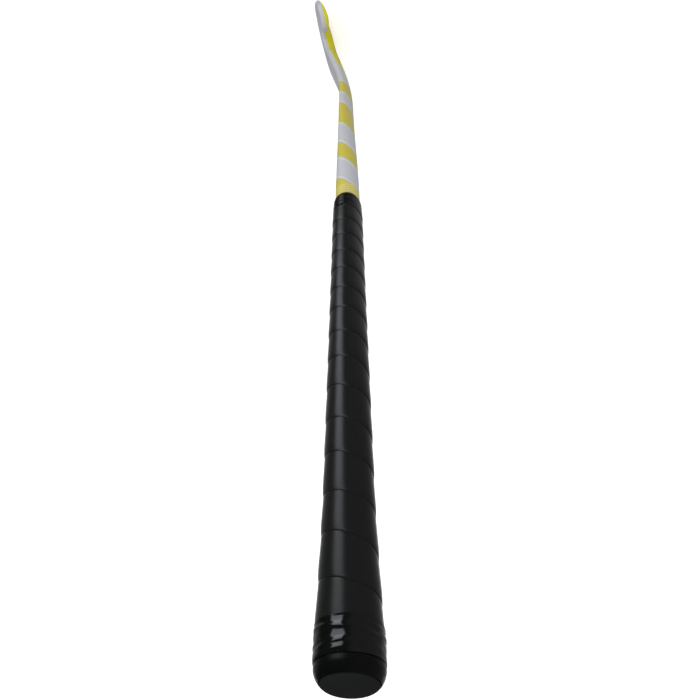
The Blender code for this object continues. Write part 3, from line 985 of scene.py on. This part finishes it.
def make_gloss_tape():
    material, tree, shader = new_material("gloss_tape", GLOSS_BLACK, GLOSS_ROUGHNESS, specular=0.65)
    patches = noise(tree, object_place(tree), scale=260.0)
    rough = scaled(tree, patches, GLOSS_DULLNESS, GLOSS_ROUGHNESS)
    tree.links.new(rough, shader.inputs["Roughness"])
    bump(tree, shader, patches, distance=0.00010, strength=0.5)
    return material


gloss_tape = make_gloss_tape()

# %% Wrap the start tape
GLOSS_THICKNESS = 0.00030
GLOSS_ROWS = 56
GLOSS_POINTS = 180
INSIDE_EVERY = 14
BAND_CLEARANCE = 0.00005
BAND_SWELL = 0.00035
END_ROLL = 0.00014
END_ROLL_REACH = 0.0012


def end_form(station):
    """The tape lies thicker towards the cap, and its very end is rubbed down."""
    thicker = BAND_SWELL * (GLOSS_BOTTOM - station) / (GLOSS_BOTTOM - GLOSS_TOP)
    return thicker - END_ROLL * max(0.0, 1 - (station - GLOSS_TOP) / END_ROLL_REACH) ** 2


def gloss_ring(station, rise, folded):
    points = []
    for step in range(GLOSS_POINTS):
        turn = 2 * math.pi * step / GLOSS_POINTS
        height = fold_height(station, turn) + end_form(station) if folded else 0.0
        points.append(handle_point(station, turn, flare(station) + rise + height))
    return points


def make_gloss_band():
    under = PART_GAP + NEAR_EDGE + BAND_CLEARANCE
    over = under + GLOSS_THICKNESS - FOLD_HEIGHT / 2
    rows = [blend(GLOSS_TOP, GLOSS_BOTTOM, row / GLOSS_ROWS) for row in range(GLOSS_ROWS + 1)]
    inside = [gloss_ring(station, under, False) for station in rows[::INSIDE_EVERY]]
    outside = [gloss_ring(station, over, True) for station in reversed(rows)]
    return finish_piece("gloss_band", loft(inside + outside, closed=True), gloss_tape, "anchor_band")


gloss_band = make_gloss_band()

# %% [markdown]
# ## The finishing band
# A narrower tape closes the lower end of the grip. It goes round more than once, so one low step
# shows, and its last edge is pressed down onto the lacquer in a rounded shoulder. A plain ring with a
# bevel would look machined, so a formula gives each ring of the loft the step, the shoulder and a
# slight unevenness.

# %% Wrap the finishing band
BAND_TOP = -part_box("finishing_band")[1][2]
BAND_BLACK = (0.0030, 0.0030, 0.0036)
BAND_ROW = 0.0004
BAND_RISE = 0.0019
BAND_SHOULDER = 0.0060
SHOULDER_STEPS = 14
BAND_LIP = 0.0006
WRAP_STEP_PLACE = 0.0095
WRAP_STEP_SLANT = 0.0012
WRAP_STEP_RUN = 0.0006
WRAP_STEP_DROP = 0.00022
RIPPLE = 0.00005
RIPPLE_ROUND = 5
RIPPLE_ALONG = 900


def band_rise(station, turn):
    """The band's outer surface, with the step of its second turn and slight unevenness."""
    into = (station - (GRIP_END - BAND_SHOULDER)) / BAND_SHOULDER
    rise = BAND_RISE
    if into > 0:
        rise = blend(BAND_LIP, BAND_RISE, math.sqrt(max(1 - into * into, 0.0)))
    edge = BAND_TOP + WRAP_STEP_PLACE + WRAP_STEP_SLANT * math.sin(turn)
    step = smooth_step(station, edge - WRAP_STEP_RUN / 2, WRAP_STEP_RUN)
    ripple = RIPPLE * math.sin(turn * RIPPLE_ROUND + station * RIPPLE_ALONG) * (1 - step)
    return rise - WRAP_STEP_DROP * step * (1 - max(into, 0.0)) + ripple


def make_finishing_band():
    stops = even_stops(BAND_TOP, GRIP_END - BAND_SHOULDER, BAND_ROW)
    for step in range(SHOULDER_STEPS + 1):
        stops.append(GRIP_END - BAND_SHOULDER * (1 - math.sin(math.pi / 2 * step / SHOULDER_STEPS)))
    outside = []
    for station in stops:
        outside.append([handle_point(station, turn, band_rise(station, turn)) for turn in OVAL_TURNS])
    inside = [oval_ring(GRIP_END, PART_GAP), oval_ring(BAND_TOP, PART_GAP)]
    return finish_piece("finishing_wrap", loft(outside + inside, closed=True), band_rubber, "finishing_band")


band_rubber = make_moulded("band_rubber", BAND_BLACK, grain=1800.0, roughness=0.24, specular=0.22)
finishing_wrap = make_finishing_band()

# %% [markdown]
# ## The hidden pieces
# The foam core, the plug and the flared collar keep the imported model's shapes. They show only when
# the stick is taken apart, so a finer mesh would bring nothing, and each just gets a finish of its
# own, with the same shared grain.

# %% Finish the hidden pieces
CORE_CREAM = (0.62, 0.56, 0.40)
PLUG_GREY = (0.03, 0.03, 0.03)
COLLAR_BLACK = (0.015, 0.015, 0.015)

hidden = {
    "foam_core": make_moulded("core_foam", CORE_CREAM, grain=900.0, roughness=0.9, specular=0.2),
    "handle_plug": make_moulded("plug_plastic", PLUG_GREY, grain=2400.0, roughness=0.5, specular=0.4),
    "flare_collar": make_moulded("collar_foam", COLLAR_BLACK, grain=1100.0, roughness=0.85, specular=0.2),
}
for node_name, finish in hidden.items():
    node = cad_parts[node_name]
    for slot in node.material_slots:
        slot.material = finish
    print(node_name, "finished with", finish.name)

# %% [markdown]
# ## The light
# The photograph has broad, soft light from several sides. Large area lamps give that, where a sun or
# point lamps would draw hard shadows. The lamps don't show in reflections, because the screen below
# is what the front of the rubber mirrors.

# %% Light the stick
STICK_MIDDLE = Vector((0.0, 0.0, -0.45))
HOOK_MIDDLE = Vector((0.0, 0.0, -0.85))
# Each softbox has a name, a place, a target, a width, a height and a power in watts.
SOFTBOXES = (
    ("key_light", Vector((0.60, -3.60, 1.60)), STICK_MIDDLE, 3.5, 3.5, 100.0),
    ("face_light", Vector((2.60, -0.90, -0.30)), STICK_MIDDLE, 2.0, 2.0, 34.0),
    ("fill_light", Vector((-0.95, -0.55, 0.15)), STICK_MIDDLE, 0.8, 1.0, 1.8),
    ("low_light", from_photo(1.4, 0.75, 0.35), HOOK_MIDDLE, 1.0, 1.0, 3.5),
    ("back_light", Vector((0.3, 1.3, 0.2)), STICK_MIDDLE, 1.2, 1.2, 5.0),
    ("top_light", Vector((-0.1, -0.2, 1.3)), STICK_MIDDLE, 0.9, 0.9, 6.0),
)


def add_softbox(name, place, target, width, height, power):
    data = bpy.data.lights.new(name, "AREA")
    data.shape = "RECTANGLE"
    data.size = width
    data.size_y = height
    data.energy = power
    light = bpy.data.objects.new(name, data)
    bpy.context.scene.collection.objects.link(light)
    light.location = place
    light.rotation_euler = (target - place).to_track_quat("-Z", "Y").to_euler()
    light.visible_camera = light.visible_glossy = False


for softbox in SOFTBOXES:
    add_softbox(*softbox)
print(len(SOFTBOXES), "softboxes")

# %% [markdown]
# ## The screen that the black rubber mirrors
# Black rubber shows mostly what it reflects. In a studio one long soft strip stands beside such a
# piece, with dark cards on both sides of it, so that a single soft highlight runs down the handle.
# The curved screen below does both. Only reflections see it: it throws no light and no shadow. Its
# glow depends only on the turn round the stick and the height, so it is the same from every side.

# %% Places on the screen
SCREEN_RADIUS = 0.22
SCREEN_REACH = math.radians(150)
# Heights between which the lower, paler part of the screen comes in.
LOWER_RISE = (-0.35, -0.80)


def along_way(tree, x, y, way):
    """How far a point lies along one of the photograph's directions."""
    return calculate(tree, "ADD", product(tree, x, way.x), product(tree, y, way.y))


def screen_place(tree):
    """The turn round the stick, clockwise from the photograph's up, and the height."""
    split = tree.nodes.new("ShaderNodeSeparateXYZ")
    tree.links.new(object_place(tree), split.inputs[0])
    x, y, height = split.outputs
    turn = calculate(tree, "ARCTAN2", along_way(tree, x, y, right_way), along_way(tree, x, y, up_way))
    return turn, height


# %% The screen's bright strip
STRIP_COLOR = (0.94, 0.95, 1.04)
STRIP_GLOW = 2.75
STRIP_GLOW_LOW = 1.15
STRIP_GLOW_TOP = 0.72
STRIP_TOP_FADE = (-0.10, -0.25)
STRIP_TOP = -0.035
STRIP_BOTTOM = -0.80
STRIP_TURN_TOP = math.radians(-34)
STRIP_TURN_BOTTOM = math.radians(-62)
STRIP_BEND = 0.8
STRIP_BEND_TURN = math.radians(-55)
STRIP_BEND_HEIGHT = -0.62
STRIP_HALF_WIDTH = math.radians(18.5)
STRIP_SOFT = 0.05
STRIP_SOFT_TOP = 0.02
STRIP_SOFT_BOTTOM = 0.03


def strip_mask(tree, turn, height):
    """1 on the strip, which leans round the screen on its way down and bends back low down."""
    lean = (STRIP_TURN_BOTTOM - STRIP_TURN_TOP) / (STRIP_BOTTOM - STRIP_TOP)
    middle = scaled(tree, height, lean, STRIP_TURN_TOP - lean * STRIP_TOP)
    bend_start = STRIP_BEND_TURN + STRIP_BEND * STRIP_BEND_HEIGHT
    bent_back = scaled(tree, height, -STRIP_BEND, bend_start)
    middle = calculate(tree, "MAXIMUM", middle, bent_back)
    beside = calculate(tree, "ABSOLUTE", calculate(tree, "SUBTRACT", turn, middle))
    strip = ramp_between(tree, beside, STRIP_HALF_WIDTH + STRIP_SOFT, STRIP_HALF_WIDTH - STRIP_SOFT)
    for end, soft in ((STRIP_TOP, STRIP_SOFT_TOP), (STRIP_BOTTOM, -STRIP_SOFT_BOTTOM)):
        strip = product(tree, strip, ramp_between(tree, height, end + soft, end - soft))
    return strip


def strip_strength(tree, height, lower):
    """The strip's glow, weaker near the butt and again towards the hook."""
    strength = scaled(tree, lower, STRIP_GLOW_LOW - STRIP_GLOW, STRIP_GLOW)
    below_top = ramp_between(tree, height, *STRIP_TOP_FADE)
    fading = scaled(tree, below_top, 1.0 - STRIP_GLOW_TOP, STRIP_GLOW_TOP)
    return product(tree, strength, fading)


print("strip", round(math.degrees(2 * STRIP_HALF_WIDTH)), "degrees wide")

# %% The screen's dark ground
SCREEN_DARK = 0.018
SCREEN_RIGHT = 0.13
SCREEN_RIGHT_LOW = 0.38
RIGHT_RISE = (-0.2, 0.4)
FAR_RIGHT_RISE = (0.4, 2.0)
SCREEN_EDGE = 0.36
SCREEN_EDGE_LOW = 0.55
EDGE_START = math.radians(85)
EDGE_HEIGHTS = ((0.02, -0.02), (-0.84, -0.76))
CARD_GREY = 0.20
CARD_SOFT = 0.01


def screen_ground(tree, turn, height, lower):
    """The dark cards, paler to the right, towards both ends of the screen and on the floor."""
    ends = ramp_between(tree, calculate(tree, "ABSOLUTE", turn), EDGE_START, SCREEN_REACH)
    for start, end in EDGE_HEIGHTS:
        ends = product(tree, ends, ramp_between(tree, height, start, end))
    edge_glow = scaled(tree, lower, SCREEN_EDGE_LOW - SCREEN_EDGE, SCREEN_EDGE)
    right = ramp_between(tree, turn, *RIGHT_RISE)
    dark = scaled(tree, right, SCREEN_RIGHT - SCREEN_DARK, SCREEN_DARK)
    pale_right = product(tree, ramp_between(tree, turn, *FAR_RIGHT_RISE), lower)
    dark = scaled(tree, pale_right, SCREEN_RIGHT_LOW - SCREEN_RIGHT, dark)
    dark = calculate(tree, "MAXIMUM", dark, product(tree, ends, edge_glow))
    on_floor = ramp_between(tree, height, cad_low.z + CARD_SOFT, cad_low.z)
    return calculate(tree, "MAXIMUM", dark, product(tree, on_floor, CARD_GREY))


def make_screen_glow():
    """A dark screen that pales towards its ends, with one bright strip on it."""
    material = bpy.data.materials.new("screen_glow")
    material.use_nodes = True
    tree = material.node_tree
    tree.nodes.clear()
    glow = tree.nodes.new("ShaderNodeEmission")
    result = tree.nodes.new("ShaderNodeOutputMaterial")
    tree.links.new(glow.outputs[0], result.inputs["Surface"])
    turn, height = screen_place(tree)
    lower = ramp_between(tree, height, *LOWER_RISE)
    strip = strip_mask(tree, turn, height)
    ground = screen_ground(tree, turn, height, lower)
    total = scaled(tree, strip, strip_strength(tree, height, lower), ground)
    tree.links.new(mix_colors(tree, strip, (1.0, 1.0, 1.0), STRIP_COLOR), glow.inputs["Color"])
    tree.links.new(total, glow.inputs["Strength"])
    return material


# %% Stand the screen round the front
SCREEN_TOP = 0.45
SCREEN_STEPS = 60
HOOD_RADIUS = 0.225
HOOD_POINTS = 72
HOOD_SHORTER = 0.01
CARD_DROP = 0.0005
FACES_DOWN = -0.9


def make_screen():
    mesh = bmesh.new()
    start = up_way.copy()
    start.rotate(Matrix.Rotation(-SCREEN_REACH, 3, "Z"))
    foot = start * SCREEN_RADIUS + Vector((0.0, 0.0, cad_low.z))
    head = start * SCREEN_RADIUS + Vector((0.0, 0.0, SCREEN_TOP))
    low_end, high_end = mesh.verts.new(foot), mesh.verts.new(head)
    edge = mesh.edges.new((low_end, high_end))
    axis = Vector((0.0, 0.0, 1.0))
    bmesh.ops.spin(
        mesh, geom=[low_end, high_end, edge], cent=Vector(), axis=axis, dvec=Vector(),
        angle=2 * SCREEN_REACH, steps=SCREEN_STEPS, use_duplicate=False,
    )
    hood_middle = Matrix.Translation((0.0, 0.0, SCREEN_TOP / 2))
    bmesh.ops.create_cone(
        mesh, cap_ends=True, cap_tris=False, segments=HOOD_POINTS, radius1=HOOD_RADIUS,
        radius2=HOOD_RADIUS, depth=SCREEN_TOP - HOOD_SHORTER, matrix=hood_middle,
    )
    bottom = [face for face in mesh.faces if face.normal.z < FACES_DOWN]
    bmesh.ops.delete(mesh, geom=bottom, context="FACES_ONLY")
    floor_card = Matrix.Translation((0.0, 0.0, cad_low.z - CARD_DROP))
    bmesh.ops.create_circle(
        mesh, cap_ends=True, segments=HOOD_POINTS, radius=SCREEN_RADIUS, matrix=floor_card
    )
    screen = add_object("reflection_screen", mesh)
    screen.data.shade_smooth()
    screen.visible_camera = screen.visible_diffuse = screen.visible_shadow = False
    screen.visible_transmission = screen.visible_volume_scatter = False
    screen.data.materials.append(make_screen_glow())


make_screen()
print("screen round the front, radius", SCREEN_RADIUS)

# %% [markdown]
# ## The floor and the background
# The photograph is cut out on pure white. A bright lamp on a white floor would wash out the stick,
# so the floor and the world show white only to the camera and in reflections. For all other light
# the floor is plain, and still takes the stick's soft shadow close to it.

# %% The white surroundings
FLOOR_SIZE = 40.0
FLOOR_DROP = 0.001
FLOOR_WHITE = (0.8, 0.8, 0.8)
FLOOR_GLOW = 0.42
FLOOR_NEAR, FLOOR_FAR = 0.3, 2.5
WORLD_LIGHT = 0.35


def seen_directly(tree):
    """1 for rays from the camera and for rays in reflections or through glass."""
    paths = tree.nodes.new("ShaderNodeLightPath")
    seen = calculate(tree, "MAXIMUM", paths.outputs["Is Camera Ray"], paths.outputs["Is Glossy Ray"])
    return calculate(tree, "MAXIMUM", seen, paths.outputs["Is Transmission Ray"])


def make_world():
    world = bpy.data.worlds.new("white_surroundings")
    bpy.context.scene.world = world
    world.use_nodes = True
    tree = world.node_tree
    background = tree.nodes["Background"]
    background.inputs["Color"].default_value = (1.0, 1.0, 1.0, 1.0)
    strength = scaled(tree, seen_directly(tree), 1.0 - WORLD_LIGHT, WORLD_LIGHT)
    tree.links.new(strength, background.inputs["Strength"])


def make_floor():
    mesh = bmesh.new()
    bmesh.ops.create_grid(mesh, x_segments=1, y_segments=1, size=FLOOR_SIZE / 2)
    bmesh.ops.translate(mesh, verts=mesh.verts, vec=(0.0, 0.0, cad_low.z - FLOOR_DROP))
    floor = add_object("floor", mesh)
    material, tree, shader = new_material("floor_white", FLOOR_WHITE, roughness=0.9, specular=0.0)
    length = tree.nodes.new("ShaderNodeVectorMath")
    length.operation = "LENGTH"
    flatten = tree.nodes.new("ShaderNodeMapping")
    flatten.inputs["Scale"].default_value = (1.0, 1.0, 0.0)
    tree.links.new(object_place(tree), flatten.inputs["Vector"])
    tree.links.new(flatten.outputs["Vector"], length.inputs[0])
    far = ramp_between(tree, length.outputs["Value"], FLOOR_NEAR, FLOOR_FAR)
    glow = scaled(tree, far, 1.0 - FLOOR_GLOW, FLOOR_GLOW)
    glow = product(tree, glow, seen_directly(tree))
    shader.inputs["Emission Color"].default_value = (1.0, 1.0, 1.0, 1.0)
    tree.links.new(glow, shader.inputs["Emission Strength"])
    floor.data.materials.append(material)


make_world()
make_floor()
bpy.context.scene.view_settings.view_transform = "Standard"
print("floor at", round(cad_low.z - FLOOR_DROP, 4))
